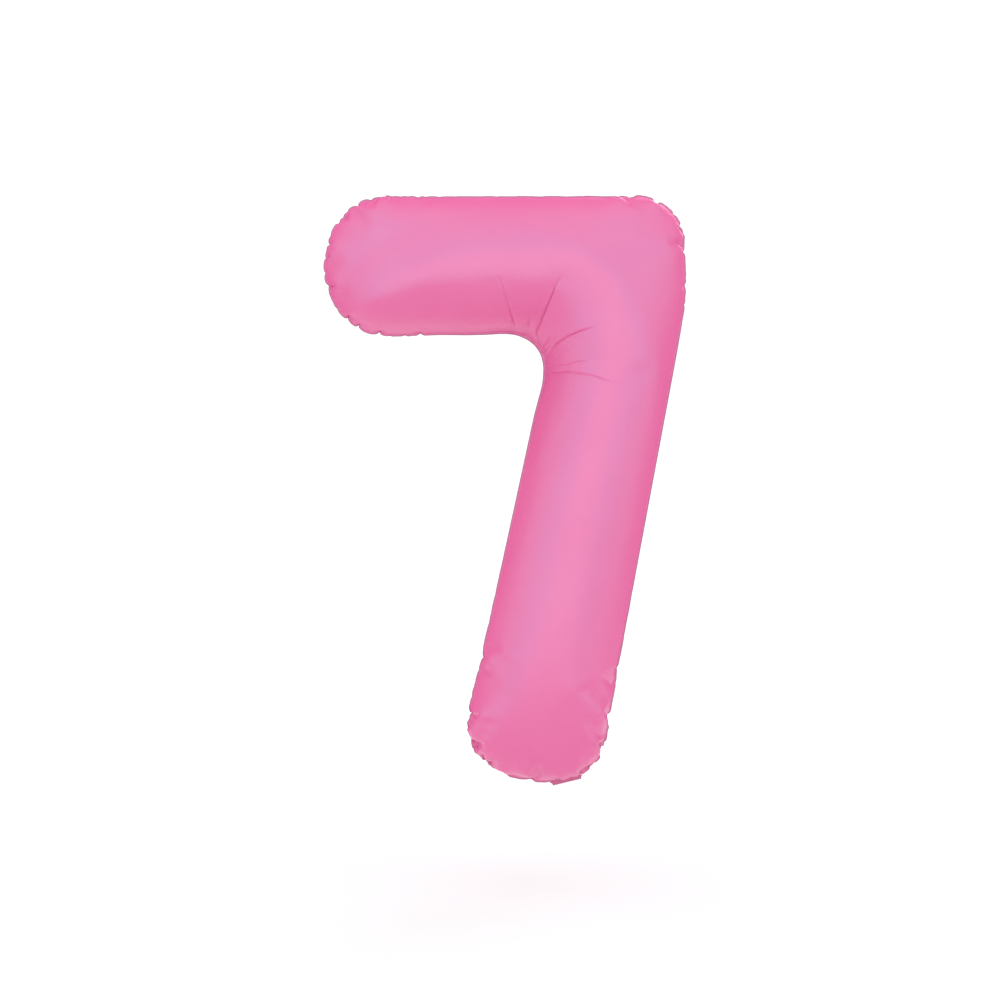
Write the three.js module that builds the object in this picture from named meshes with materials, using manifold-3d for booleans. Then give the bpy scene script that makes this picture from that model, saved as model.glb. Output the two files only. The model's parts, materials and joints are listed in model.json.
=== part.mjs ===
// Foil number balloon: an inflated figure 7. Two film panels are heat-sealed to each other round the edge, and a
// self-sealing valve of two thin films runs from an inflation tail, folded up behind the leg, into the leg.
// Two punched tabs for hanging lie folded back behind the top edge.
// Millimetres, +Z up. The figure reads from -Y, and its seam lies in the plane y = 0. The origin is on the seam
// where the tail leaves the leg, which is where a ribbon is tied.

import * as THREE from "three";
import { mergeVertices } from "three/addons/utils/BufferGeometryUtils.js";
import Module from "manifold-3d";

const wasm = await Module();
wasm.setup();

// Driving dimensions. The figure is drawn in its seam plane, as (x, z) in a Vector2, from the point where the arm's
// axis meets the leg's axis. Lengths and radii go to the seam, which is inside the margin.
const arm = { radius: 86, length: 392, cap: 75 };
const leg = { lean: 11.46, topRadius: 76.3, taper: 0.01505, length: 675.6, cap: 66, capPower: 2.3 };
const shoulder = { right: 67, radius: 61 }; // the outer corner, and the upright edge below it
const crotch = { radius: 45 }; // the inner corner
const seamMargin = 4; // welded film outside the seam
const film = { thickness: 0.4, valveThickness: 0.3, gap: 0.3 };
const tail = { offset: 50, width: 38, length: 60, creaseGap: 1.8, rootGap: 0.9, bend: 91 };
const valve = { width: 26, inside: 110, proud: 3 };
const tab = { width: 26, length: 20, tipRadius: 9, holeRadius: 2.5, holeFromRoot: 11, thickness: 0.8, lift: 1, root: 0.6 };
const tabPlaces = { hang_tab_left: -300, hang_tab_right: -25 }; // x of each tab's middle
const steps = { arm: 5, corner: 22, leg: 8, cap: 8, across: 14 };

// The films lie in a stack either side of the seam plane: valve film, then panel or tail film.
const valveInner = 0.2;
const valveOuter = valveInner + film.valveThickness;
const panelInner = valveOuter + film.gap;
const panelOuter = panelInner + film.thickness;

const materials = {
  foil: new THREE.MeshStandardMaterial({ color: 0xec6fa9, roughness: 0.42, metalness: 0.35 }),
  seal: new THREE.MeshStandardMaterial({ color: 0xd9649c, roughness: 0.5, metalness: 0.3 }),
  valveFilm: new THREE.MeshStandardMaterial({ color: 0xe9eef0, roughness: 0.3, metalness: 0 }),
};

const balloon = new THREE.Group();

function addPiece(name, geometry, material, parent = balloon) {
  const piece = new THREE.Mesh(geometry, material);
  piece.name = name;
  parent.add(piece);
  return piece;
}

// --- The figure's outline -------------------------------------------------------------------------------------

const legDown = new THREE.Vector2(
  -Math.sin(THREE.MathUtils.degToRad(leg.lean)),
  -Math.cos(THREE.MathUtils.degToRad(leg.lean)),
);
const legRight = new THREE.Vector2(-legDown.y, legDown.x);

// The point that lies a distance down the leg's axis and another to the right of it.
function onLeg(down, right) {
  return new THREE.Vector2().addScaledVector(legDown, down).addScaledVector(legRight, right);
}

function legRadius(down) {
  return leg.topRadius + leg.taper * down;
}

const legCapStart = leg.length - leg.cap;
const armCapStart = -arm.length + arm.cap;

// The inner corner's arc touches the arm's lower seam and the leg's left seam.
function crotchArc() {
  const top = onLeg(0, -legRadius(0));
  const bottom = onLeg(legCapStart, -legRadius(legCapStart));
  const along = bottom.clone().sub(top).normalize();
  const away = new THREE.Vector2(along.y, -along.x); // to the leg's left
  const z = -arm.radius - crotch.radius;
  const x = top.x + (crotch.radius - away.y * (z - top.y)) / away.x;
  const endAngle = Math.atan2(-away.y, -away.x);
  return { centre: new THREE.Vector2(x, z), startAngle: Math.PI / 2, endAngle };
}

// How far down the axis the leg's right seam crosses the upright edge below the shoulder.
function shoulderFoot() {
  return (shoulder.right - legRight.x * leg.topRadius) / (legDown.x + legRight.x * leg.taper);
}

// A pair of seam points that face each other across the stroke, and the height of the film over them.
function rib(inner, outer, height) {
  return { inner, outer, height: height ?? inner.distanceTo(outer) / 2 };
}

function armRibs() {
  const end = crotchArc().centre.x;
  const ribs = [];
  for (let i = 0; i < steps.arm; i++) {
    const x = THREE.MathUtils.lerp(armCapStart, end, i / steps.arm);
    ribs.push(rib(new THREE.Vector2(x, -arm.radius), new THREE.Vector2(x, arm.radius)));
  }
  return ribs;
}

function cornerRibs(legStart) {
  const arc = crotchArc();
  const innerPath = new THREE.Path();
  innerPath.absarc(arc.centre.x, arc.centre.y, crotch.radius, arc.startAngle, arc.endAngle, true);
  const outerPath = new THREE.Path();
  outerPath.moveTo(arc.centre.x, arm.radius);
  outerPath.lineTo(shoulder.right - shoulder.radius, arm.radius);
  outerPath.absarc(
    shoulder.right - shoulder.radius, arm.radius - shoulder.radius, shoulder.radius, Math.PI / 2, 0, true);
  const foot = onLeg(shoulderFoot(), legRadius(shoulderFoot()));
  const end = onLeg(legStart, legRadius(legStart));
  outerPath.lineTo(foot.x, foot.y);
  outerPath.lineTo(end.x, end.y);
  const inner = innerPath.getSpacedPoints(steps.corner);
  const outer = outerPath.getSpacedPoints(steps.corner);
  return inner.map((point, i) =>
    rib(point, outer[i], THREE.MathUtils.lerp(arm.radius, legRadius(legStart), i / steps.corner)),
  );
}

function legRibs(legStart) {
  const ribs = [];
  for (let i = 1; i <= steps.leg; i++) {
    const down = THREE.MathUtils.lerp(legStart, legCapStart, i / steps.leg);
    ribs.push(rib(onLeg(down, -legRadius(down)), onLeg(down, legRadius(down))));
  }
  return ribs;
}

// How wide a rounded end still is, from 1 where it starts to 0 at its tip.
function capWidth(turn, power) {
  return Math.pow(Math.cos(turn), 2 / power);
}

function capReach(turn, power) {
  return Math.pow(Math.sin(turn), 2 / power);
}

function armCapRibs() {
  const ribs = [];
  for (let i = 1; i < steps.cap; i++) {
    const turn = (Math.PI / 2) * (1 - i / steps.cap);
    const x = armCapStart - arm.cap * capReach(turn, 2);
    const half = arm.radius * capWidth(turn, 2);
    ribs.push(rib(new THREE.Vector2(x, -half), new THREE.Vector2(x, half)));
  }
  return ribs;
}

function legCapPoint(turn, side) {
  const half = legRadius(legCapStart) * capWidth(turn, leg.capPower);
  return onLeg(legCapStart + leg.cap * capReach(turn, leg.capPower), side * half);
}

function legCapRibs() {
  const ribs = [];
  for (let i = 1; i < steps.cap; i++) {
    const turn = (Math.PI / 2) * (i / steps.cap);
    ribs.push(rib(legCapPoint(turn, -1), legCapPoint(turn, 1)));
  }
  return ribs;
}

const legStart = 190; // the corner's ribs hand over to the leg's ribs here
const ribs = [...armCapRibs(), ...armRibs(), ...cornerRibs(legStart), ...legRibs(legStart), ...legCapRibs()];
const tips = [new THREE.Vector2(-arm.length, 0), onLeg(leg.length, 0)];

// The whole seam as one closed loop, clockwise: from the arm's tip along the outer edge and back along the inner.
const seamLoop = [
  tips[0],
  ...ribs.map((r) => r.outer),
  tips[1],
  ...ribs.map((r) => r.inner).reverse(),
];

function outwardNormal(loop, i) {
  const before = loop[(i + loop.length - 1) % loop.length];
  const after = loop[(i + 1) % loop.length];
  return new THREE.Vector2(before.y - after.y, after.x - before.x).normalize();
}

// The loop moved outwards by a distance, or inwards by a negative one.
function offsetLoop(loop, distance) {
  return loop.map((point, i) => point.clone().addScaledVector(outwardNormal(loop, i), distance));
}

// --- The panels ---------------------------------------------------------------------------------------------

// A closed skin through a row of closed profiles with the same number of points. The first and the last profile
// enclose nothing, so that the skin closes by itself there.
function loftProfiles(profiles) {
  const count = profiles[0].length;
  const positions = profiles.flat().flatMap((p) => [p.x, p.y, p.z]);
  const geometry = new THREE.BufferGeometry();
  geometry.setAttribute("position", new THREE.Float32BufferAttribute(positions, 3));
  const indices = [];
  for (let i = 0; i + 1 < profiles.length; i++) {
    for (let j = 0; j < count; j++) {
      const next = (j + 1) % count;
      const [a, b, c, d] = [i * count + j, (i + 1) * count + j, (i + 1) * count + next, i * count + next];
      indices.push(a, b, c, a, c, d);
    }
  }
  geometry.setIndex(indices);
  return withoutSlivers(mergeVertices(geometry, 1e-3));
}

function withoutSlivers(geometry) {
  const kept = [];
  const index = geometry.index.array;
  for (let i = 0; i < index.length; i += 3) {
    const [a, b, c] = [index[i], index[i + 1], index[i + 2]];
    if (a !== b && b !== c && c !== a) kept.push(a, b, c);
  }
  geometry.setIndex(kept);
  geometry.computeVertexNormals();
  return geometry;
}

// The section of one panel over a rib: welded margin, domed film and margin again, outside and then back inside.
function panelProfile(inner, outer, rimInner, rimOuter, height, side) {
  const dome = (base, inset) => {
    const points = [];
    const axis = outer.clone().sub(inner);
    const from = inner.clone().addScaledVector(axis.clone().normalize(), inset);
    const to = outer.clone().addScaledVector(axis.clone().normalize(), -inset);
    for (let k = 0; k <= steps.across; k++) {
      const turn = (Math.PI * k) / steps.across;
      const flat = from.clone().lerp(to, (1 - Math.cos(turn)) / 2);
      points.push(new THREE.Vector3(flat.x, side * (base + height * Math.sin(turn)), flat.y));
    }
    return points;
  };
  const onRim = (rim, base) => new THREE.Vector3(rim.x, side * base, rim.y);
  const inset = height > 0 ? film.thickness : 0;
  return [
    onRim(rimInner, panelOuter),
    ...dome(panelOuter, 0),
    onRim(rimOuter, panelOuter),
    onRim(rimOuter, panelInner),
    ...dome(panelInner, inset).reverse(),
    onRim(rimInner, panelInner),
  ];
}

function panelGeometry(side) {
  const rim = offsetLoop(seamLoop, seamMargin);
  const last = ribs.length;
  const profiles = ribs.map((r, i) =>
    panelProfile(r.inner, r.outer, rim[rim.length - 1 - i], rim[i + 1], r.height, side),
  );
  profiles.unshift(panelProfile(tips[0], tips[0], rim[0], rim[0], 0, side));
  profiles.push(panelProfile(tips[1], tips[1], rim[last + 1], rim[last + 1], 0, side));
  return loftProfiles(side < 0 ? profiles : profiles.reverse());
}

// --- Booleans -----------------------------------------------------------------------------------------------

function toSolid(geometry) {
  const bare = new THREE.BufferGeometry();
  bare.setAttribute("position", geometry.getAttribute("position"));
  if (geometry.index) bare.setIndex(geometry.index);
  const merged = mergeVertices(bare, 1e-3);
  const mesh = new wasm.Mesh({
    numProp: 3,
    vertProperties: new Float32Array(merged.attributes.position.array),
    triVerts: new Uint32Array(merged.index.array),
  });
  return new wasm.Manifold(mesh);
}

function toGeometry(solid) {
  const mesh = solid.getMesh();
  const geometry = new THREE.BufferGeometry();
  geometry.setAttribute("position", new THREE.BufferAttribute(new Float32Array(mesh.vertProperties), 3));
  geometry.setIndex(new THREE.BufferAttribute(new Uint32Array(mesh.triVerts), 1));
  geometry.computeVertexNormals();
  return geometry;
}

// --- The tail's place on the seam -----------------------------------------------------------------------------

// The turn round the leg's end at which the seam is the tail's offset to the right of the leg's axis.
const tailTurn = Math.acos(Math.pow(tail.offset / legRadius(legCapStart), leg.capPower / 2));
const tailRoot = legCapPoint(tailTurn, 1);
const tailAlong = legCapPoint(tailTurn - 0.01, 1).sub(legCapPoint(tailTurn + 0.01, 1)).normalize();
const tailLean = Math.atan2(tailAlong.y, tailAlong.x); // of the seam there, above the horizontal

// A frame on the seam at the tail: x along the seam, z into the leg, y to the back.
function seamFrame(outward) {
  const group = new THREE.Group();
  const away = new THREE.Vector2(tailAlong.y, -tailAlong.x);
  const place = tailRoot.clone().addScaledVector(away, outward);
  group.position.set(place.x, 0, place.y);
  group.rotation.y = -tailLean;
  balloon.add(group);
  return group;
}

// --- The perimeter seal ---------------------------------------------------------------------------------------

// The fused sealing layers of both panels, in the margin. The band stops either side of the valve.
function sealGeometry() {
  const clearance = film.gap;
  const ring = new THREE.Shape(offsetLoop(seamLoop, seamMargin - clearance));
  ring.holes.push(new THREE.Path(offsetLoop(seamLoop, clearance).reverse()));
  const band = new THREE.ExtrudeGeometry(ring, { depth: 2 * valveOuter, bevelEnabled: false });
  band.translate(0, 0, -valveOuter);
  band.rotateX(Math.PI / 2);
  const gap = new THREE.BoxGeometry(valve.width + 2, 10, 40);
  gap.rotateY(-tailLean);
  gap.translate(tailRoot.x, 0, tailRoot.y);
  return toGeometry(toSolid(band).subtract(toSolid(gap)));
}

// --- The valve inside the leg ---------------------------------------------------------------------------------

// A flat strip of film with rounded inner corners, in the seam plane.
function valveStripGeometry(side) {
  const half = valve.width / 2;
  const corner = 6;
  const shape = new THREE.Shape();
  shape.moveTo(-half, -seamMargin);
  shape.lineTo(half, -seamMargin);
  shape.lineTo(half, valve.inside - corner);
  shape.absarc(half - corner, valve.inside - corner, corner, 0, Math.PI / 2);
  shape.lineTo(-half + corner, valve.inside);
  shape.absarc(-half + corner, valve.inside - corner, corner, Math.PI / 2, Math.PI);
  const strip = new THREE.ExtrudeGeometry(shape, {
    depth: film.valveThickness, bevelEnabled: false, curveSegments: 4,
  });
  strip.rotateX(Math.PI / 2);
  return strip.translate(0, side < 0 ? -valveInner : valveOuter, 0);
}

// --- The tail, folded up behind the leg -------------------------------------------------------------------------

// A strip that leaves the crease towards the back and curls up with the balloon's back. Its two faces are inner
// and outer millimetres outside the tail's middle surface, and it spans left to right along the crease.
function curledStripGeometry(inner, outer, left, right, length) {
  const start = tail.rootGap / tail.bend;
  const end = start + length / tail.bend;
  const section = new THREE.Shape();
  section.absarc(0, tail.bend, tail.bend + outer, -Math.PI / 2 + start, -Math.PI / 2 + end, false);
  section.absarc(0, tail.bend, tail.bend + inner, -Math.PI / 2 + end, -Math.PI / 2 + start, true);
  const strip = new THREE.ExtrudeGeometry(section, {
    depth: right - left, bevelEnabled: false, curveSegments: 10,
  });
  const [x, y, z] = [[1, 0, 0], [0, 1, 0], [0, 0, 1]].map((axis) => new THREE.Vector3(...axis));
  strip.applyMatrix4(new THREE.Matrix4().makeBasis(y, z, x)); // the section's x goes back, its y goes up
  return strip.translate(left, 0, 0);
}

function addTail() {
  const crease = seamFrame(seamMargin + tail.creaseGap);
  const half = tail.width / 2;
  const valveHalf = valve.width / 2;
  const sealInner = valveHalf + 1.2;
  const films = [
    ["tail_film_front", panelInner, panelOuter, -half, half, tail.length, materials.foil],
    ["tail_film_back", -panelOuter, -panelInner, -half, half, tail.length, materials.foil],
    ["tail_seal_left", -valveOuter, valveOuter, -half + 0.3, -sealInner, tail.length - 0.3, materials.seal],
    ["tail_seal_right", -valveOuter, valveOuter, sealInner, half - 0.3, tail.length - 0.3, materials.seal],
    ["valve_mouth_front", valveInner, valveOuter, -valveHalf, valveHalf, tail.length + valve.proud, materials.valveFilm],
    ["valve_mouth_back", -valveOuter, -valveInner, -valveHalf, valveHalf, tail.length + valve.proud, materials.valveFilm],
  ];
  for (const [name, inner, outer, left, right, length, material] of films) {
    addPiece(name, curledStripGeometry(inner, outer, left, right, length), material, crease);
  }
}

// --- The hanging tabs -------------------------------------------------------------------------------------------

// A punched tab of doubled film, drawn from its crease towards +Y.
function tabGeometry() {
  const half = tab.width / 2;
  const shape = new THREE.Shape();
  const tipCentre = tab.length - tab.tipRadius;
  shape.moveTo(-half, tab.root);
  shape.lineTo(half, tab.root);
  shape.lineTo(tab.tipRadius, tipCentre);
  shape.absarc(0, tipCentre, tab.tipRadius, 0, Math.PI);
  const hole = new THREE.Path();
  hole.absarc(0, tab.holeFromRoot, tab.holeRadius, 0, 2 * Math.PI);
  shape.holes.push(hole);
  const plate = new THREE.ExtrudeGeometry(shape, { depth: tab.thickness, bevelEnabled: false, curveSegments: 10 });
  return plate.translate(0, 0, -tab.thickness / 2);
}

function addTabs() {
  for (const [name, x] of Object.entries(tabPlaces)) {
    const piece = addPiece(name, tabGeometry(), materials.foil);
    piece.position.set(x, 0, arm.radius + seamMargin + tab.lift);
  }
}

// --- The balloon ------------------------------------------------------------------------------------------------

addPiece("front_panel", panelGeometry(-1), materials.foil);
addPiece("back_panel", panelGeometry(1), materials.foil);
addPiece("perimeter_seal", sealGeometry(), materials.seal);
const valveFrame = seamFrame(0);
addPiece("valve_film_front", valveStripGeometry(-1), materials.valveFilm, valveFrame);
addPiece("valve_film_back", valveStripGeometry(1), materials.valveFilm, valveFrame);
addTail();
addTabs();
balloon.position.set(-tailRoot.x, 0, -tailRoot.y);

export default balloon;
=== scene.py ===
import json
import math

import bpy
import numpy as np
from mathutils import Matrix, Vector
from mathutils.bvhtree import BVHTree
from mathutils.geometry import barycentric_transform, delaunay_2d_cdt
from mathutils.kdtree import KDTree


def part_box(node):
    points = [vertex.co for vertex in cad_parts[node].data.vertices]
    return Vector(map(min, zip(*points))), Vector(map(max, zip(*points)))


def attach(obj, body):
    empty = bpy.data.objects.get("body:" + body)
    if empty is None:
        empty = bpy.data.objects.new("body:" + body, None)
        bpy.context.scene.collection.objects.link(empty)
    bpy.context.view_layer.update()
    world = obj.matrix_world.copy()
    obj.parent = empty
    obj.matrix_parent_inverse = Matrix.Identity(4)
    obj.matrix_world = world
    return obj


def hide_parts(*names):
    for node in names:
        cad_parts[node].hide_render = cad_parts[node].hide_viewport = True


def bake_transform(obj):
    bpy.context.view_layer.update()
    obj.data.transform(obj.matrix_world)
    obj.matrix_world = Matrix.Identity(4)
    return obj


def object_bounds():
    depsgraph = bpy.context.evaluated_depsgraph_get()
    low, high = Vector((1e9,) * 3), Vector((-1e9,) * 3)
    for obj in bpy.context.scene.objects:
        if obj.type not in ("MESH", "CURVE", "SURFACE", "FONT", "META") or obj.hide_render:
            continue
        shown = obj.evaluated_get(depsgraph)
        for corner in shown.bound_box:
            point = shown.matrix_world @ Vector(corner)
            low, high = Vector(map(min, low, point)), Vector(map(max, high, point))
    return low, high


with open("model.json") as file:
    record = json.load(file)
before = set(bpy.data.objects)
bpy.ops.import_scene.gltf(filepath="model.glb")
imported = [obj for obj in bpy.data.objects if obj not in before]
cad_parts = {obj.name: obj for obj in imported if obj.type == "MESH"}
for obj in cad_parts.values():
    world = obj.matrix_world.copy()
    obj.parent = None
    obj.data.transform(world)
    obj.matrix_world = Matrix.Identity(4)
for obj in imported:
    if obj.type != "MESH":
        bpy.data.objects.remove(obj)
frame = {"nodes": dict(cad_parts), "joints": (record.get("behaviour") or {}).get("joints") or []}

cadBounds = [list(corner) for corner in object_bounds()]
print("frame loaded, size", [round(b - a, 4) for a, b in zip(*cadBounds)])

# how the figure is cut and how it looks filled

# one panel as it is cut, measured to the weld, from where the arm's axis meets the leg's axis
panelCut = {
    "armTilt": -18.0,          # degrees, the arm is cut rising and settles level when the corner fills
    "armHalf": 0.129,
    "armCapStart": 0.300,
    "armCap": 0.142,
    "armCapPower": 2.0,
    "legLean": 11.46,
    "legHalf": 0.120,
    "legTaper": 0.0236,
    "legShift": -0.022,
    "legCapStart": 0.572,
    "legCap": 0.142,
    "legCapPower": 2.2,
    "sideX": 0.093,
    "shoulderRadius": 0.085,
    "footRadius": 0.300,
    "crotchRadius": 0.080,
}

# the weld of the filled figure, which the CAD panels follow
filledFigure = {
    "armTilt": 0.0,
    "armHalf": 0.086,
    "armCapStart": 0.317,
    "armCap": 0.075,
    "armCapPower": 2.0,
    "legLean": 11.46,
    "legHalf": 0.0763,
    "legTaper": 0.01505,
    "legShift": 0.0,
    "legCapStart": 0.6096,
    "legCap": 0.066,
    "legCapPower": 2.3,
    "sideX": 0.067,
    "shoulderRadius": 0.061,
    "footRadius": 0.300,
    "crotchRadius": 0.045,
}

marginWidth = 0.004        # welded film outside the weld in the CAD
marginShown = 0.0024       # what stays flat once the film is blown up tight, the rest rolls into the bulge


def direction(degrees):
    return np.array([math.cos(math.radians(degrees)), math.sin(math.radians(degrees))])


def capPoint(turn, reach, half, power):
    # a rounded end: how far past its start, and how far off its axis
    return reach * math.sin(turn) ** (2 / power), half * max(math.cos(turn), 0) ** (2 / power)


def filletArc(pointA, alongA, pointB, alongB, radius, convex, count=60):
    # round the corner between two lines of a loop that runs clockwise
    sign = 1 if convex else -1
    awayA = np.array([alongA[1], -alongA[0]]) * sign
    awayB = np.array([alongB[1], -alongB[0]]) * sign
    rows = np.array([[alongA[0], -alongB[0]], [alongA[1], -alongB[1]]])
    step = np.linalg.solve(rows, pointB + awayB * radius - pointA - awayA * radius)
    centre = pointA + awayA * radius + alongA * step[0]
    start = math.atan2(-awayA[1], -awayA[0])
    end = math.atan2(-awayB[1], -awayB[0])
    if convex and end > start:
        end -= 2 * math.pi
    if not convex and end < start:
        end += 2 * math.pi
    turns = np.linspace(start, end, count)
    return [centre + radius * np.array([math.cos(t), math.sin(t)]) for t in turns]


def cutLine(cut):
    armOut = direction(cut["armTilt"] + 180)
    armUp = np.array([armOut[1], -armOut[0]])
    legDown = direction(270 - cut["legLean"])
    legRight = np.array([-legDown[1], legDown[0]])

    def onArm(out, up):
        return armOut * out + armUp * up

    def onLeg(down, right):
        return legDown * down + legRight * (right + cut["legShift"])

    def armCapPoints(turns, side):
        for turn in turns:
            out, up = capPoint(turn, cut["armCap"], cut["armHalf"], cut["armCapPower"])
            yield onArm(cut["armCapStart"] + out, side * up)

    legEnd = cut["legHalf"] + cut["legTaper"] * cut["legCapStart"]

    def legCapPoints(turns, side):
        for turn in turns:
            down, right = capPoint(turn, cut["legCap"], legEnd, cut["legCapPower"])
            yield onLeg(cut["legCapStart"] + down, side * right)

    quarter = np.linspace(0, math.pi / 2, 120)
    rightTop, rightEnd = onLeg(0, cut["legHalf"]), onLeg(cut["legCapStart"], legEnd)
    leftTop, leftEnd = onLeg(0, -cut["legHalf"]), onLeg(cut["legCapStart"], -legEnd)
    rightWay = (rightEnd - rightTop) / np.linalg.norm(rightEnd - rightTop)
    leftWay = (leftTop - leftEnd) / np.linalg.norm(leftTop - leftEnd)
    side = np.array([cut["sideX"], 0.0])
    sideWay = np.array([0.0, -1.0])
    top, bottom = onArm(0, cut["armHalf"]), onArm(0, -cut["armHalf"])
    corners = [*armCapPoints(quarter[::-1], 1)]
    corners += filletArc(top, -armOut, side, sideWay, cut["shoulderRadius"], True)
    corners += filletArc(side, sideWay, rightTop, rightWay, cut["footRadius"], True)
    corners += [*legCapPoints(quarter, 1), *legCapPoints(quarter[::-1], -1)]
    corners += filletArc(leftEnd, leftWay, bottom, armOut, cut["crotchRadius"], False)
    corners += [*armCapPoints(quarter, -1)]
    return np.array(corners)


def spaced(loop, gap):
    closed = np.vstack([loop, loop[:1]])
    along = np.concatenate([[0], np.cumsum(np.linalg.norm(np.diff(closed, axis=0), axis=1))])
    count = int(round(along[-1] / gap))
    wanted = np.arange(count) * along[-1] / count
    return np.stack([np.interp(wanted, along, closed[:, axis]) for axis in (0, 1)], axis=1)


def outward(loop):
    way = np.roll(loop, -1, axis=0) - np.roll(loop, 1, axis=0)
    normal = np.stack([-way[:, 1], way[:, 0]], axis=1)
    return normal / np.linalg.norm(normal, axis=1)[:, None]


def insideLoop(points, loop):
    x, z = points[:, 0], points[:, 1]
    inside = np.zeros(len(points), bool)
    for (x0, z0), (x1, z1) in zip(loop, np.roll(loop, -1, axis=0)):
        if z0 != z1:
            inside ^= ((z0 > z) != (z1 > z)) & (x < (x1 - x0) * (z - z0) / (z1 - z0) + x0)
    return inside


def nearestOf(line, points):
    # for each point, which of the line's points is nearest, and how far off it is
    tree = KDTree(len(line))
    for i, (x, z) in enumerate(line):
        tree.insert((x, z, 0), i)
    tree.balance()
    found = [tree.find((x, z, 0)) for x, z in points]
    return np.array([f[1] for f in found]), np.array([f[2] for f in found])


meshing = {
    "bandWidth": 0.030,      # of finer film beside the weld
    "bandGrowth": 1.12,
    "crotchZone": 0.16,      # the inner corner creases, so it is finer too
    "crotchGap": 0.0055,
    "crowding": 0.72,
    "cell": 0.01,
    "ringSlack": 0.0003,
    "ringInward": 0.87,      # each ring of points lies this many gaps inside the last
}


def latticePoints(low, high, gap):
    rows = np.arange(low[1], high[1], gap * math.sqrt(3) / 2)
    strips = []
    for k, z in enumerate(rows):
        across = np.arange(low[0] + (k % 2) * gap / 2, high[0], gap)
        strips.append(np.stack([across, np.full(len(across), z)], axis=1))
    return np.vstack(strips)


def panelPoints(seam, edgeGap, innerGap, crotch, lines):
    weld = spaced(seam, edgeGap)
    cells = {}
    kept = []

    def take(points, gap):
        # keep the points that do not crowd those already there
        apart = (meshing["crowding"] * gap) ** 2
        for x, z in points:
            i, j = int(x // meshing["cell"]), int(z // meshing["cell"])
            around = [(i + a, j + b) for a in (-1, 0, 1) for b in (-1, 0, 1)]
            near = (other for key in around for other in cells.get(key, ()))
            if all((x - other[0]) ** 2 + (z - other[1]) ** 2 > apart for other in near):
                cells.setdefault((i, j), []).append((x, z))
                kept.append((x, z))

    take(weld, 0)
    for line in lines:
        for row in creaseRows(line):
            take(row, creasing["crowd"])
    depth, gap, shifted = 0, edgeGap, False
    while depth < meshing["bandWidth"]:
        depth += gap * meshing["ringInward"]
        ring = spaced(seam, gap)
        if shifted:
            ring = (ring + np.roll(ring, -1, axis=0)) / 2
        ring = ring - outward(ring) * depth
        ring = ring[insideLoop(ring, weld)]
        ring = ring[nearestOf(seam, ring)[1] > depth - meshing["ringSlack"]]
        take(ring, gap)
        gap, shifted = min(gap * meshing["bandGrowth"], innerGap), not shifted
    for latticeGap, zone in ((meshing["crotchGap"], meshing["crotchZone"]), (innerGap, math.inf)):
        lattice = latticePoints(weld.min(axis=0), weld.max(axis=0), latticeGap)
        lattice = lattice[np.linalg.norm(lattice - crotch, axis=1) < zone]
        lattice = lattice[insideLoop(lattice, weld)]
        lattice = lattice[nearestOf(seam, lattice)[1] > depth + gap * 0.4]
        take(lattice, latticeGap)
    return np.array(kept), len(weld)


def facingUp(points, faces):
    # turn every face the same way round
    a, b, c = (points[faces[:, k]] for k in range(3))
    turn = (b[:, 0] - a[:, 0]) * (c[:, 1] - a[:, 1]) - (c[:, 0] - a[:, 0]) * (b[:, 1] - a[:, 1])
    faces[turn < 0] = faces[turn < 0][:, ::-1]
    return faces


def panelFaces(points, weldCount):
    edges = [(i, (i + 1) % weldCount) for i in range(weldCount)]
    made = delaunay_2d_cdt([Vector(p) for p in points], edges, [list(range(weldCount))], 1, 1e-7)
    origin = np.array([o[0] for o in made[3]])
    return facingUp(points, origin[np.array(made[2])])


def twoPanels(points, faces, weldCount):
    # front film, then back film, joined along the weld; side is -1 in front, 0 on the weld, 1 behind
    count = len(points)
    backOf = np.concatenate([np.arange(weldCount), np.arange(count, 2 * count - weldCount)])
    flat = np.vstack([points, points[weldCount:]])
    side = np.concatenate([np.zeros(weldCount), -np.ones(count - weldCount), np.ones(count - weldCount)])
    return flat, side, np.vstack([faces, backOf[faces][:, ::-1]])


def roundedStart(flat, side, seam, radius):
    # each stroke bent to a half tube over its own width, before the film finds its own shape
    which, distance = nearestOf(seam, flat)
    inward = -outward(seam)[which]
    gap = flat - seam[which]
    far = distance > 0.001
    inward[far] = gap[far] / distance[far][:, None]
    distance = np.minimum(distance, radius * math.pi / 2)
    retreat = radius * (math.pi / 2 - np.cos(distance / radius)) - distance
    place = flat + inward * retreat[:, None]
    return np.stack([place[:, 0], side * radius * np.sin(distance / radius), place[:, 1]], axis=1)


film = {
    "startRadius": 0.085,
    "pressure": 15.0,
    "tension": 60.0,
    "compression": 0.3,
    "shear": 5.0,
    "bending": 0.05,
    "damping": 5.0,
    "bendDamping": 0.1,
    "airDamping": 4.0,
    "mass": 0.02,
    "quality": 5,
    "unevenness": 0.00005,
    "seed": 3,
}


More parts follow.
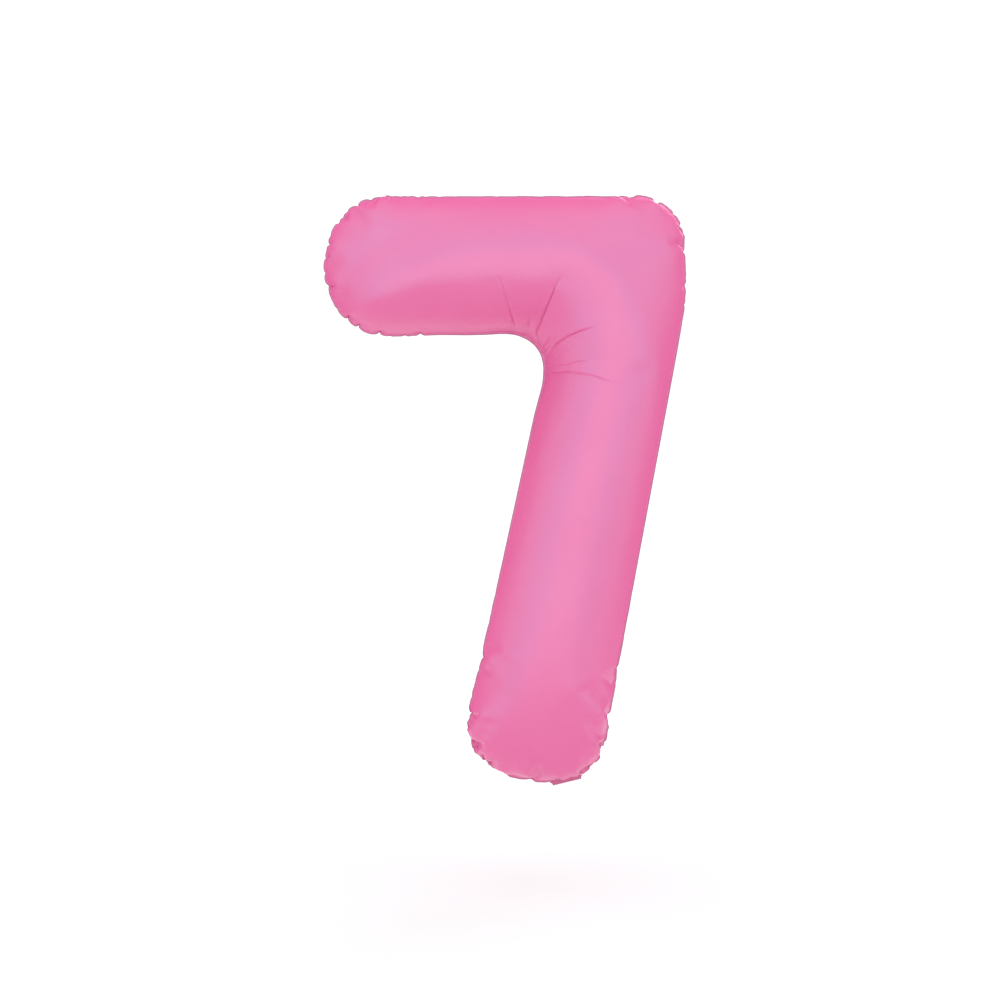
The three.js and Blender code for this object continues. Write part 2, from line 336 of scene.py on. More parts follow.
def inflate(start, flat, faces, frames, blendIn):
    scene = bpy.context.scene
    mesh = bpy.data.meshes.new("film")
    uneven = np.random.default_rng(film["seed"]).normal(0, film["unevenness"], len(start))
    start = start + np.stack([0 * uneven, uneven, 0 * uneven], axis=1)
    mesh.from_pydata(start.tolist(), [], faces.tolist())
    sheet = bpy.data.objects.new("film", mesh)
    scene.collection.objects.link(sheet)
    sheet.shape_key_add(name="start")
    cutShape = sheet.shape_key_add(name="cut")
    cutShape.data.foreach_set("co", np.stack([flat[:, 0], 0 * flat[:, 0], flat[:, 1]], axis=1).ravel())
    for value, moment in ((0, 1), (1, 1 + blendIn)):
        cutShape.value = value
        cutShape.keyframe_insert("value", frame=moment)
    cloth = sheet.modifiers.new("film", "CLOTH")
    settings = cloth.settings
    settings.use_dynamic_mesh = True   # the film's rest shape goes from the start to the flat cut
    settings.quality = film["quality"]
    settings.mass = film["mass"]
    settings.air_damping = film["airDamping"]
    settings.tension_stiffness = film["tension"]
    settings.compression_stiffness = film["compression"]
    settings.shear_stiffness = film["shear"]
    settings.bending_stiffness = film["bending"]
    settings.tension_damping = settings.compression_damping = settings.shear_damping = film["damping"]
    settings.bending_damping = film["bendDamping"]
    settings.use_pressure = True
    settings.uniform_pressure_force = film["pressure"]
    settings.effector_weights.gravity = 0
    cloth.collision_settings.use_collision = False
    cloth.point_cache.frame_start, cloth.point_cache.frame_end = 1, frames
    for moment in range(1, frames + 1):
        scene.frame_set(moment)
    done = sheet.evaluated_get(bpy.context.evaluated_depsgraph_get())
    place = np.empty(3 * len(start))
    done.data.vertices.foreach_get("co", place)
    action = mesh.shape_keys.animation_data.action
    bpy.data.objects.remove(sheet)
    bpy.data.meshes.remove(mesh)
    bpy.data.actions.remove(action)
    scene.frame_set(1)
    return place.reshape(-1, 3)


def carriedOver(coarseFlat, coarseFaces, coarsePlace, flat, side):
    # where the coarse film has put each point of the finer one
    half = len(coarseFaces) // 2
    place = np.empty((len(flat), 3))
    for chosen, panel in ((side <= 0, coarseFaces[:half]), (side > 0, coarseFaces[half:])):
        corners = [Vector((x, z, 0)) for x, z in coarseFlat]
        tree = BVHTree.FromPolygons(corners, panel.tolist())
        for i in np.where(chosen)[0]:
            point = Vector((*flat[i], 0))
            face = panel[tree.find_nearest(point)[2]]
            flatCorners = [corners[k] for k in face]
            place[i] = barycentric_transform(point, *flatCorners, *(Vector(coarsePlace[k]) for k in face))
    return place


# the inner corner's long creases in the flat cut: where each leaves the corner's arc, its way, bow and length
cornerCreases = [
    {"at": 56, "turn": 80, "bow": 10, "from": 0.014, "length": 0.096, "depth": 0.0013},
    {"at": 34, "turn": 50, "bow": -8, "from": 0.009, "length": 0.112, "depth": 0.0016},
    {"at": 19, "turn": 20, "bow": -13, "from": 0.009, "length": 0.112, "depth": 0.0015},
    {"at": 3, "turn": -10, "bow": -8, "from": 0.010, "length": 0.122, "depth": 0.0013},
    {"at": 27, "turn": 38, "bow": 6, "from": 0.007, "length": 0.030, "depth": 0.0007},
    {"at": 22, "turn": 26, "bow": -6, "from": 0.006, "length": 0.034, "depth": 0.0007},
    {"at": 9, "turn": 2, "bow": 8, "from": 0.022, "length": 0.074, "depth": 0.0006},
    {"at": 44, "turn": 62, "bow": 6, "from": 0.006, "length": 0.034, "depth": 0.0006},
]
creasing = {
    "rows": (0.0, 0.0011, -0.0011, 0.0026, -0.0026),   # lines of points either side of a crease
    "gap": 0.0024,
    "crowd": 0.0011,
    "width": 0.0013,
    "shoulder": 0.0045,      # the film stands up a little either side of a crease
    "shoulderRise": 0.35,
    "fadeIn": 0.12,
    "fadeOut": 0.22,
}


def creaseLine(crease, arcCentre, radius):
    # centre line of one crease, with its direction at each point
    line = [arcCentre + direction(crease["at"]) * (radius + crease["from"])]
    count = int(crease["length"] / creasing["gap"]) + 1
    for k in range(count):
        way = direction(crease["turn"] + crease["bow"] * (k / count - 0.5) * 2)
        line.append(line[-1] + way * creasing["gap"])
    return np.array(line)


def arcOfCorner(cut):
    # centre of the inner corner's arc in the flat cut, from the part of the line that turns the other way
    line = spaced(cutLine(cut), 0.002)
    way = np.roll(line, -1, axis=0) - line
    turn = np.angle(np.exp(1j * np.diff(np.arctan2(way[:, 1], way[:, 0]), append=0)))
    arc = line[np.where(turn > 0.005)[0]]   # radians from one point to the next
    arc = arc[np.linalg.norm(arc - np.median(arc, axis=0), axis=1) < cut["crotchRadius"] * 1.5]
    rows = np.c_[2 * arc, np.ones(len(arc))]
    return np.linalg.lstsq(rows, (arc ** 2).sum(axis=1), rcond=None)[0][:2]


def creaseRows(line):
    way = np.gradient(line, axis=0)
    way /= np.linalg.norm(way, axis=1)[:, None]
    normal = np.stack([-way[:, 1], way[:, 0]], axis=1)
    return [line + normal * off for off in creasing["rows"]]


def distanceToLine(points, line):
    start, way = line[:-1], np.diff(line, axis=0)
    part = np.clip(((points[:, None] - start[None]) * way[None]).sum(-1) / (way ** 2).sum(-1)[None], 0, 1)
    apart = np.linalg.norm(points[:, None] - start[None] - part[..., None] * way[None], axis=-1)
    best = apart.argmin(axis=1)
    pick = np.arange(len(points))
    return apart[pick, best], (best + part[pick, best]) / len(way)


steps = {
    "coarse": {"edgeGap": 0.004, "innerGap": 0.012, "creased": False, "frames": 60, "blendIn": 5},
    "fine": {"edgeGap": 0.0034, "innerGap": 0.0085, "creased": True, "frames": 16, "blendIn": 1},
}


def foilShape():
    seam = spaced(cutLine(panelCut), 0.001)
    arcCentre = arcOfCorner(panelCut)
    creased = [creaseLine(crease, arcCentre, panelCut["crotchRadius"]) for crease in cornerCreases]
    last = None
    for level, step in steps.items():
        lines = creased if step["creased"] else []
        cutPoints, weldCount = panelPoints(seam, step["edgeGap"], step["innerGap"], arcCentre, lines)
        faces = panelFaces(cutPoints, weldCount)
        flat, side, allFaces = twoPanels(cutPoints, faces, weldCount)
        if last:
            start = carriedOver(*last, flat, side)
        else:
            start = roundedStart(flat, side, seam, film["startRadius"])
        place = inflate(start, flat, allFaces, step["frames"], step["blendIn"])
        last = (flat, allFaces, place)
        size = np.round(place.max(axis=0) - place.min(axis=0), 3)
        print(level, "film filled,", len(flat), "points, size", size)
    return flat, side, allFaces, weldCount, place


# fitting the filled film to the CAD figure

fitting = {
    "settle": 4.6,                 # degrees the whole figure turns once it is full
    "rounds": (0.15, 0.08, 0.045, 0.030),   # how far along the weld each correction is spread, in metres
    "reach": 0.012,
    "tailAnchor": 0.031,           # the weld is straightened this far about the tail's root
    "tabAnchor": 0.020,
    "anchorRounds": 3,
    "anchorReach": 0.005,
    "scallopDepth": 0.0028,        # the weld's scallops stay about this deep either way
    "scallopSway": 0.0035,         # and this far out of the weld's plane
}


def nearestOnLoop(points, loop):
    start, end = loop, np.roll(loop, -1, axis=0)
    way = end - start
    part = ((points[:, None] - start[None]) * way[None]).sum(-1) / (way ** 2).sum(-1)[None]
    foot = start[None] + np.clip(part, 0, 1)[..., None] * way[None]
    distance = np.linalg.norm(points[:, None] - foot, axis=-1)
    return foot[np.arange(len(points)), distance.argmin(axis=1)]


def spreadAlong(values, loop, width):
    # a smooth version of values that sit on the points of a closed loop
    step = np.linalg.norm(np.roll(loop, -1, axis=0) - loop, axis=1)
    along = np.concatenate([[0], np.cumsum(step)[:-1]])
    apart = np.abs(along[:, None] - along[None])
    apart = np.minimum(apart, step.sum() - apart)
    weight = np.exp(-(apart / width) ** 2) * step[None]
    return weight @ values / weight.sum(axis=1)[:, None]


def carryIn(points, loop, shift, reach):
    # the weld's shift, shared out over the film by nearness
    moved = np.empty((len(points), shift.shape[1]))
    for part in np.array_split(np.arange(len(points)), 20):
        apart = np.linalg.norm(points[part][:, None] - loop[None], axis=-1)
        weight = 1 / (apart ** 2 + reach ** 2) ** 1.5
        moved[part] = weight @ shift / weight.sum(axis=1)[:, None]
    return moved


def fitToFigure(place, weldCount, figure, anchors):
    turn = math.radians(fitting["settle"])
    x, z = place[:, 0].copy(), place[:, 2].copy()
    place[:, 0] = x * math.cos(turn) - z * math.sin(turn)
    place[:, 2] = x * math.sin(turn) + z * math.cos(turn)
    weld = place[:weldCount][:, [0, 2]]
    place[:, [0, 2]] += (figure.min(axis=0) + figure.max(axis=0) - weld.min(axis=0) - weld.max(axis=0)) / 2
    for width in fitting["rounds"]:
        weld = place[:weldCount][:, [0, 2]]
        shift = spreadAlong(nearestOnLoop(weld, figure) - weld, weld, width)
        place[:, [0, 2]] += carryIn(place[:, [0, 2]], weld, shift, fitting["reach"])
    for again in range(fitting["anchorRounds"]):
        # deep notches are eased, and the weld is drawn to the roots of the tail and the tabs
        weld = place[:weldCount][:, [0, 2]]
        near = np.zeros(weldCount)
        for anchor, reach in anchors:
            near = np.maximum(near, np.exp(-(np.linalg.norm(weld - anchor, axis=1) / reach) ** 4))
        pull = nearestOnLoop(weld, figure) - weld
        apart = np.maximum(np.linalg.norm(pull, axis=1), 1e-6)
        sway = np.maximum(np.abs(place[:weldCount, 1]), 1e-6)
        eased = 1 - np.tanh(apart / fitting["scallopDepth"]) * fitting["scallopDepth"] / apart
        level = 1 - np.tanh(sway / fitting["scallopSway"]) * fitting["scallopSway"] / sway
        eased, level = np.maximum(eased, near), np.maximum(level, near)
        shift = np.stack([pull[:, 0] * eased, -place[:weldCount, 1] * level, pull[:, 1] * eased], axis=1)
        place += carryIn(place[:, [0, 2]], weld, shift, fitting["anchorReach"])
    return place


# the inner corner's surface

cornerFinish = {
    "calmReach": 0.190,        # the broad dents inside this distance of the corner are pressed out
    "calmFade": 0.060,
    "weldKept": (0.004, 0.014),   # but not beside the weld
    "rounds": 70,
    "calming": (0.55, -0.57),
    "fullness": 0.75,          # how far the film goes to the CAD panel's full height there
    "crown": 1.03,
}


def fullHeight(points, node):
    # how far the CAD panel stands out of the weld's plane at each point
    mesh = frame["nodes"][node].data
    tree = BVHTree.FromPolygons([v.co for v in mesh.vertices], [tuple(p.vertices) for p in mesh.polygons])
    heights = []
    for x, z in points:
        hit = tree.ray_cast(Vector((x, -1, z)), Vector((0, 1, 0)))[0]
        heights.append(-hit.y if hit else 0.0)
    return np.array(heights)


def calmCorner(place, side, flat, faces, seamDistance, arcCentre):
    # press out the broad dents and keep the fullness: each round smooths, then swells back
    reach = np.linalg.norm(flat - arcCentre, axis=1) - panelCut["crotchRadius"]
    weight = np.clip((cornerFinish["calmReach"] - reach) / cornerFinish["calmFade"], 0, 1)
    near, clear = cornerFinish["weldKept"]
    weight *= np.clip((seamDistance - near) / (clear - near), 0, 1)
    ends = np.vstack([faces[:, [0, 1]], faces[:, [1, 2]], faces[:, [2, 0]]])
    length = np.linalg.norm(flat[ends[:, 0]] - flat[ends[:, 1]], axis=1)
    share = 1 / np.maximum(length, 0.0005)
    total = np.bincount(ends[:, 0], share, len(place))
    inner = np.where(weight > 0)[0]
    full = fullHeight(place[inner][:, [0, 2]], "front_panel") * cornerFinish["crown"] * side[inner]
    portion = (weight * cornerFinish["fullness"])[inner]
    place[inner, 1] += (full - place[inner, 1]) * portion * (np.abs(full) > 0)
    for amount in cornerFinish["calming"] * cornerFinish["rounds"]:
        other = place[ends[:, 1]]
        mean = np.stack([np.bincount(ends[:, 0], share * other[:, k], len(place)) for k in range(3)], axis=1)
        place = place + (mean / total[:, None] - place) * (weight * amount)[:, None]
    return place


def surfaceNormals(place, faces):
    a, b, c = (place[faces[:, k]] for k in range(3))
    faceNormal = np.cross(b - a, c - a)
    normal = np.stack([sum(np.bincount(faces[:, k], faceNormal[:, axis], len(place)) for k in range(3))
                       for axis in range(3)], axis=1)
    return normal / np.maximum(np.linalg.norm(normal, axis=1), 1e-12)[:, None]


def pressCreases(place, flat, faces, arcCentre):
    normal = surfaceNormals(place, faces)
    depth = np.zeros(len(place))
    for crease in cornerCreases:
        line = creaseLine(crease, arcCentre, panelCut["crotchRadius"])
        apart, along = distanceToLine(flat, line)
        fade = np.clip(np.minimum(along / creasing["fadeIn"], (1 - along) / creasing["fadeOut"]), 0, 1)
        groove = np.exp(-(apart / creasing["width"]) ** 2)
        rise = np.exp(-((apart - creasing["shoulder"]) / (creasing["shoulder"] * 0.6)) ** 2)
        depth += crease["depth"] * fade * (creasing["shoulderRise"] * rise - groove)
    return place + normal * depth[:, None]


# mesh helpers

def link(name, vertices, faces, material):
    mesh = bpy.data.meshes.new(name)
    mesh.from_pydata([tuple(v) for v in vertices], [], [tuple(int(i) for i in f) for f in faces])
    mesh.polygons.foreach_set("use_smooth", [True] * len(mesh.polygons))
    mesh.materials.append(material)
    piece = bpy.data.objects.new(name, mesh)
    bpy.context.scene.collection.objects.link(piece)
    return piece


def addField(piece, name, values):
    field = piece.data.attributes.new(name, "FLOAT", "POINT")
    field.data.foreach_set("value", np.asarray(values, dtype=np.float32))


def flatSheet(outline, holes, gap):
    # a flat sheet cut along an outline, with holes, in small faces
    loops = [np.asarray(loop, float) for loop in (outline, *holes)]
    low, high = loops[0].min(axis=0), loops[0].max(axis=0)
    inner = latticePoints(low, high, gap)
    inside = insideLoop(inner, loops[0])
    for hole in loops[1:]:
        inside &= ~insideLoop(inner, hole)
    inner = inner[inside]
    border = np.vstack(loops)
    apart = np.linalg.norm(inner[:, None] - border[None], axis=-1).min(axis=1)
    inner = inner[apart > 0.55 * gap]
    points = np.vstack([border, inner])
    edges, start = [], 0
    for loop in loops:
        edges += [(start + i, start + (i + 1) % len(loop)) for i in range(len(loop))]
        start += len(loop)
    made = delaunay_2d_cdt([Vector(p) for p in points], edges, [], 0, 1e-9)
    origin = [o[0] for o in made[3]]
    faces = np.array([[origin[i] for i in face] for face in made[2]])
    middle = points[faces].mean(axis=1)
    keep = insideLoop(middle, loops[0])
    for hole in loops[1:]:
        keep &= ~insideLoop(middle, hole)
    return points, facingUp(points, faces[keep])


def thickFilm(name, points, faces, atPlace, low, high, material):
    # both faces of a film and its cut edge, from a flat sheet laid out by atPlace(across, run, off)
    count = len(points)
    vertices = [atPlace(a, b, high) for a, b in points] + [atPlace(a, b, low) for a, b in points]
    used = dict.fromkeys((i, j) for face in faces for i, j in zip(face, np.roll(face, -1)))
    border = [(i, j) for i, j in used if (j, i) not in used]
    skin = [tuple(f) for f in faces] + [tuple(i + count for i in f[::-1]) for f in faces]
    skin += [(j, i, i + count, j + count) for i, j in border]
    return link(name, vertices, skin, material)


# the two panels and the weld between them

panel = {
    "margin": (0.0005, 0.0012, 0.0019, 0.0024),   # rings of the welded margin, out from the weld
    "filmThickness": 0.00014,
    "weldHalf": 0.00055,             # the fused layer between the films
    "weldProud": 0.00035,            # how far the fused layer stands past the films
    "weldInside": 0.0006,
    "ripple": 0.0016,                # the margin's own waviness where the weld is gathered
    "rippleLength": 0.0092,
    "weldSharpness": 0.85,
    "clearance": 0.00001,
    "drawnSpread": 0.004,            # the weld's way is read off a line this smooth
    "gatherSpread": 0.012,
    "gatherMost": 0.5,
}

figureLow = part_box("front_panel")[0]
figure = spaced(cutLine(filledFigure), 0.003)
figure += np.array([figureLow.x + marginWidth, figureLow.z + marginWidth]) - figure.min(axis=0)
figure += outward(figure) * (marginWidth - marginShown)


def weldFrame(flat, place, weldCount):
    # along the weld: its outward way, its length in the flat cut, and how gathered it is
    weld = place[:weldCount]
    drawn = spreadAlong(weld[:, [0, 2]], weld[:, [0, 2]], panel["drawnSpread"])
    away = outward(drawn)
    flatStep = np.linalg.norm(np.roll(flat[:weldCount], -1, axis=0) - flat[:weldCount], axis=1)
    fullStep = np.linalg.norm(np.roll(weld, -1, axis=0) - weld, axis=1)
    run = np.concatenate([[0], np.cumsum(flatStep)[:-1]])
    drawnIn = spreadAlong(fullStep[:, None], drawn, panel["gatherSpread"])[:, 0]
    return away, run, np.clip(1 - drawnIn / flatStep.mean(), 0, panel["gatherMost"])


def marginWave(run, gathered):
    return np.sin(run * 2 * math.pi / panel["rippleLength"]) * gathered * panel["ripple"] / marginShown


def panelMesh(name, side, weldLines, place, seamDistance, faces, weldCount, fields, material):
    away, run, gathered = weldLines
    keep = np.unique(faces)
    inner = keep[keep >= weldCount]
    order = np.full(len(place), -1)
    order[:weldCount] = np.arange(weldCount)
    order[inner] = weldCount + np.arange(len(inner))
    half = side * (panel["weldHalf"] + panel["filmThickness"] + panel["clearance"])
    vertices = [place[:weldCount] + [0, half, 0], place[inner]]
    rings = []
    total = weldCount + len(inner)
    wave = marginWave(run, gathered)
    for reach in panel["margin"]:
        ring = place[:weldCount].copy()
        ring[:, [0, 2]] += away * reach
        ring[:, 1] += half + wave * reach
        rings.append(np.arange(total, total + weldCount))
        vertices.append(ring)
        total += weldCount
    skin = [tuple(order[f]) for f in faces]
    following = (np.arange(weldCount) + 1) % weldCount
    before = np.arange(weldCount)
    for ring in rings:
        quads = np.stack([before, before[following], ring[following], ring], axis=1)
        skin += [tuple(q if side < 0 else q[::-1]) for q in quads]
        before = ring
    piece = link(name, np.vstack(vertices), skin, material)
    outwards = np.repeat([-reach for reach in panel["margin"]], weldCount)
    addField(piece, "weldGap", np.concatenate([np.zeros(weldCount), seamDistance[inner], outwards]))
    for label, values in fields.items():
        atWeld = values[:weldCount]
        addField(piece, label, np.concatenate([atWeld, values[inner], np.tile(atWeld, len(rings))]))
    crease = piece.data.attributes.new("crease_edge", "FLOAT", "EDGE")
    ends = np.empty(2 * len(piece.data.edges), dtype=int)
    piece.data.edges.foreach_get("vertices", ends)
    ends = ends.reshape(-1, 2)
    sharpness = (ends < weldCount).all(axis=1) * panel["weldSharpness"]
    crease.data.foreach_set("value", sharpness.astype(np.float32))
    finer = piece.modifiers.new("finer film", "SUBSURF")
    finer.levels = finer.render_levels = 1
    thick = piece.modifiers.new("film thickness", "SOLIDIFY")
    thick.thickness = panel["filmThickness"]
    thick.offset = -1
    return piece


def weldBand(name, weldLines, place, weldCount, material):
    away, run, gathered = weldLines
    wave = marginWave(run, gathered)
    half = panel["weldHalf"]
    outer = marginShown + panel["weldProud"]
    section = [(panel["weldInside"], -half), (outer - half, -half), (outer, 0), (outer - half, half),
               (panel["weldInside"], half)]
    vertices = []
    for reach, off in section:
        ring = place[:weldCount].copy()
        ring[:, [0, 2]] += away * reach
        ring[:, 1] += off + wave * reach
        vertices.append(ring)
    skin = []
    following = (np.arange(weldCount) + 1) % weldCount
    for k in range(len(section)):
        first = np.arange(weldCount) + k * weldCount
        second = np.arange(weldCount) + (k + 1) % len(section) * weldCount
        skin += [tuple(q) for q in np.stack([first, first[following], second[following], second], axis=1)]
    piece = link(name, np.vstack(vertices), skin, material)
    addField(piece, "weldRun", np.tile(run, len(section)))
    finer = piece.modifiers.new("finer weld", "SUBSURF")
    finer.levels = finer.render_levels = 1
    finer.boundary_smooth = "ALL"
    return piece


# the tail and its valve

tail = {
    "creaseOut": 0.0058,        # from the weld to the crease
    "foldRadius": 0.0012,
    "curl": 0.091,
    "length": 0.060,
    "width": 0.038,
    "overlap": 0.0024,          # how far the tail's films run up the margin
    "flare": 0.0035,
    "cornerRadius": 0.003,
    "filmThickness": 0.00016,
    "together": 0.00074,        # how far each film lies off the middle at the margin
    "apart": 0.00095,           # and further down
    "partsAt": -0.0005,         # where the films begin to part, past the crease
    "partsOver": 0.004,
    "sideWeld": 0.005,
    "puff": 0.0006,             # how much more they stand apart in the middle
    "puffOver": 0.03,
    "wrinkle": 0.00012,
    "creaseShade": -0.0017,       # painted shade along the crease, counted like a place on the margin, this far out from the weld
    "creaseShadeReach": 0.005,
    "gap": 0.0013,
}
tabs = {
    "nodes": {"hang_tab_left": "left_tab", "hang_tab_right": "right_tab"},
    "foldRadius": 0.0013,
    "width": 0.026,
    "length": 0.020,
    "tipRadius": 0.009,
    "holeRadius": 0.0025,
    "holeFromRoot": 0.011,
    "overlap": 0.0032,
    "thickness": 0.00036,
    "off": -0.00095,            # it leaves from behind the margin
    "rootStraight": 0.0006,
    "curl": 1000.0,             # as good as flat
    "gap": 0.0010,
}


def foldedPath(run, foldRadius, curl):
    # back and up from the crease, then the way the outer face looks, after running this far past the crease
    foldLength = foldRadius * (math.pi / 2 - 1)
    if run < -foldRadius:
        return 0.0, -run, -1.0, 0.0
    if run < foldLength:
        turn = (run + foldRadius) / foldRadius
        return (foldRadius * (1 - math.cos(turn)), foldRadius * (1 - math.sin(turn)),
                -math.cos(turn), -math.sin(turn))
    turn = (run - foldLength + foldRadius) / curl
    return curl * math.sin(turn), curl * (1 - math.cos(turn)), math.sin(turn), -math.cos(turn)


def foldedSheet(crease, along, into, foldRadius, curl):
    def atPlace(across, run, off):
        back, up, backWay, upWay = foldedPath(run, foldRadius, curl)
        return crease + along * across + into * (up + off * upWay) + Vector((0, back + off * backWay, 0))
    return atPlace


def roundedStrip(half, low, high, corner, flare=0.0, steps=6):
    # a strip's outline, flared where it grows out of the margin, with rounded corners at its far end
    flared = [(half + flare * (1 - k / steps) ** 2, low - low * 0.9 * k / steps) for k in range(steps + 1)]
    outline = [(-x, y) for x, y in flared[::-1]] + flared
    for centre, start in ((half - corner, 0.0), (-half + corner, math.pi / 2)):
        for k in range(steps + 1):
            turn = start + math.pi / 2 * k / steps
            outline.append((centre + corner * math.cos(turn), high - corner + corner * math.sin(turn)))
    return outline


def finely(outline, gap):
    # the same outline with a point at least every gap
    made = []
    for a, b in zip(outline, outline[1:] + outline[:1]):
        a, b = np.array(a), np.array(b)
        count = max(int(math.ceil(np.linalg.norm(b - a) / gap)), 1)
        made += [a + (b - a) * k / count for k in range(count)]
    return made


tailJoint = next(j for j in frame["joints"] if j["name"] == "tail_fold")
tailAlong = -Vector(tailJoint["axis"])
tailInto = Vector((-tailAlong.z, 0, tailAlong.x))
tailCrease = Vector(tailJoint["pos_m"])


def buildTail(foil):
    atPlace = foldedSheet(tailCrease, tailAlong, tailInto, tail["foldRadius"], tail["curl"])
    outline = finely(roundedStrip(tail["width"] / 2, -tail["creaseOut"] + marginWidth - tail["overlap"],
                                  tail["length"], tail["cornerRadius"], tail["flare"]), tail["gap"])
    points, faces = flatSheet(outline, [], tail["gap"])
    for name, side in (("tail_front", 1), ("tail_back", -1)):
        def puffed(across, run, off):
            # the two films stand a little apart between the side welds, and lie together at the margin
            middle = max(0.0, 1 - (across / (tail["width"] / 2 - tail["sideWeld"])) ** 2)
            parted = min(max((run - tail["partsAt"]) / tail["partsOver"], 0), 1)
            lift = tail["together"] + (tail["apart"] - tail["together"]) * parted
            lift += tail["puff"] * middle * parted * min(run / tail["puffOver"], 1)
            lift += tail["wrinkle"] * math.sin(across * 900 + 7 * math.sin(run * 160)) * parted
            return atPlace(across, run, side * (lift + off))
        turned = faces if side > 0 else faces[:, ::-1]
        film = thickFilm(name, points, turned, puffed, 0.0, tail["filmThickness"], foil)
        # painted shade darkens the film along the crease, as on the margin
        shadedCrease = tail["creaseShade"] * np.exp(-(points[:, 1] / tail["creaseShadeReach"]) ** 2)
        addField(film, "weldGap", np.tile(shadedCrease, 2))
        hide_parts("tail_film_front" if side > 0 else "tail_film_back")
        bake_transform(film)


def buildTabs(foil):
    for node, body in tabs["nodes"].items():
        joint = next(j for j in frame["joints"] if j["child"] == body)
        crease = Vector(joint["pos_m"])
        atPlace = foldedSheet(crease, Vector((1, 0, 0)), Vector((0, 0, -1)), tabs["foldRadius"], tabs["curl"])
        half, tip, top = tabs["width"] / 2, tabs["tipRadius"], tabs["length"] - tabs["tipRadius"]
        outline = [(-half, -tabs["overlap"]), (half, -tabs["overlap"]), (half, tabs["rootStraight"])]
        outline += [(tip * math.cos(t), top + tip * math.sin(t)) for t in np.linspace(0, math.pi, 25)]
        outline += [(-half, tabs["rootStraight"])]
        hole = [(tabs["holeRadius"] * math.cos(t), tabs["holeFromRoot"] + tabs["holeRadius"] * math.sin(t))
                for t in np.linspace(0, 2 * math.pi, 33)[:-1]]
        points, faces = flatSheet(finely(outline, tabs["gap"]), [hole], tabs["gap"])

        def behindMargin(across, run, off):
            return atPlace(across, run, tabs["off"] - off)

        thick = tabs["thickness"] / 2
        tab = thickFilm(node + "_film", points, faces[:, ::-1], behindMargin, -thick, thick, foil)
        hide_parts(node)
        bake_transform(tab)


# finishes

foilFinish = {
    "colour": (0.785, 0.154, 0.366, 1),
    "deepColour": (0.772, 0.136, 0.350, 1),
    "driftSize": 11.0,
    # painted shade on the margin: the dark line along the seam's edge
    "marginShadeColour": (0.45, 0.085, 0.20, 1),
    "roughness": (0.32, 0.42),
    "grain": {"Grain Size": 1400.0, "Grain Depth": 0.00002, "Swell Size": 34.0, "Swell Depth": 0.00025},
    "creases": {"Crease Depth": 0.00012, "Crease Pitch": 0.0030, "Crease Reach": 0.034, "Fan Depth": 0.00022},
    "sockets": {"Metallic": 0.10, "Specular IOR Level": 0.5},
}
# the weld is coloured dark: painted shade along the seam's edge
weldFinish = {
    "colour": (0.36, 0.090, 0.175, 1),
    "deepColour": (0.44, 0.11, 0.22, 1),
    "driftSize": 160.0,
    "roughness": (0.44, 0.56),
    "grain": {"Grain Size": 2600.0, "Grain Depth": 0.00003, "Swell Size": 220.0, "Swell Depth": 0.0001},
    "sockets": {"Metallic": 0.2},
}
valveFinish = {
    "colour": (0.90, 0.93, 0.95, 1),
    "deepColour": (0.82, 0.87, 0.90, 1),
    "driftSize": 90.0,
    "roughness": (0.20, 0.38),
    "grain": {"Grain Size": 900.0, "Grain Depth": 0.00001, "Swell Size": 260.0, "Swell Depth": 0.0001},
    "sockets": {"Transmission Weight": 0.7, "IOR": 1.5},
}
floorFinish = {
    "colour": (0.91, 0.91, 0.91, 1),
    "deepColour": (0.905, 0.905, 0.905, 1),
    "driftSize": 2.0,
    "roughness": (0.75, 0.85),
    "grain": {"Grain Size": 240.0, "Grain Depth": 0.00005, "Swell Size": 3.0, "Swell Depth": 0.0002},
    "sockets": {},
}


def newGroup(name, inputs, outputs):
    group = bpy.data.node_groups.new(name, "ShaderNodeTree")
    for label, kind, value in inputs:
        socket = group.interface.new_socket(label, in_out="INPUT", socket_type=kind)
        socket.default_value = value
    for label, kind in outputs:
        group.interface.new_socket(label, in_out="OUTPUT", socket_type=kind)
    nodes = group.nodes
    return group, nodes.new("NodeGroupInput"), nodes.new("NodeGroupOutput")


def addMath(tree, operation, a, b=None, clamp=False):
    node = tree.nodes.new("ShaderNodeMath")
    node.operation = operation
    node.use_clamp = clamp
    for socket, value in zip(node.inputs, (a, b)):
        if value is None:
            continue
        if isinstance(value, (int, float)):
            socket.default_value = value
        else:
            tree.links.new(value, socket)
    return node.outputs[0]


def addNoise(tree, vector, scale, detail=3.0, roughness=0.5):
    node = tree.nodes.new("ShaderNodeTexNoise")
    for label, value in (("Detail", detail), ("Roughness", roughness)):
        node.inputs[label].default_value = value
    if isinstance(scale, (int, float)):
        node.inputs["Scale"].default_value = scale
    else:
        tree.links.new(scale, node.inputs["Scale"])
    if vector is not None:
        tree.links.new(vector, node.inputs["Vector"])
    return node.outputs["Fac"]


def addRange(tree, value, fromLow, fromHigh, toLow, toHigh):
    node = tree.nodes.new("ShaderNodeMapRange")
    ends = {"From Min": fromLow, "From Max": fromHigh, "To Min": toLow, "To Max": toHigh}
    for label, number in ends.items():
        node.inputs[label].default_value = number
    tree.links.new(value, node.inputs["Value"])
    return node.outputs["Result"]


def addBlend(tree, amount, colourA, colourB):
    node = tree.nodes.new("ShaderNodeMix")
    node.data_type = "RGBA"
    for label, source in (("Factor", amount), ("A", colourA), ("B", colourB)):
        tree.links.new(source, node.inputs[label])
    return node.outputs["Result"]


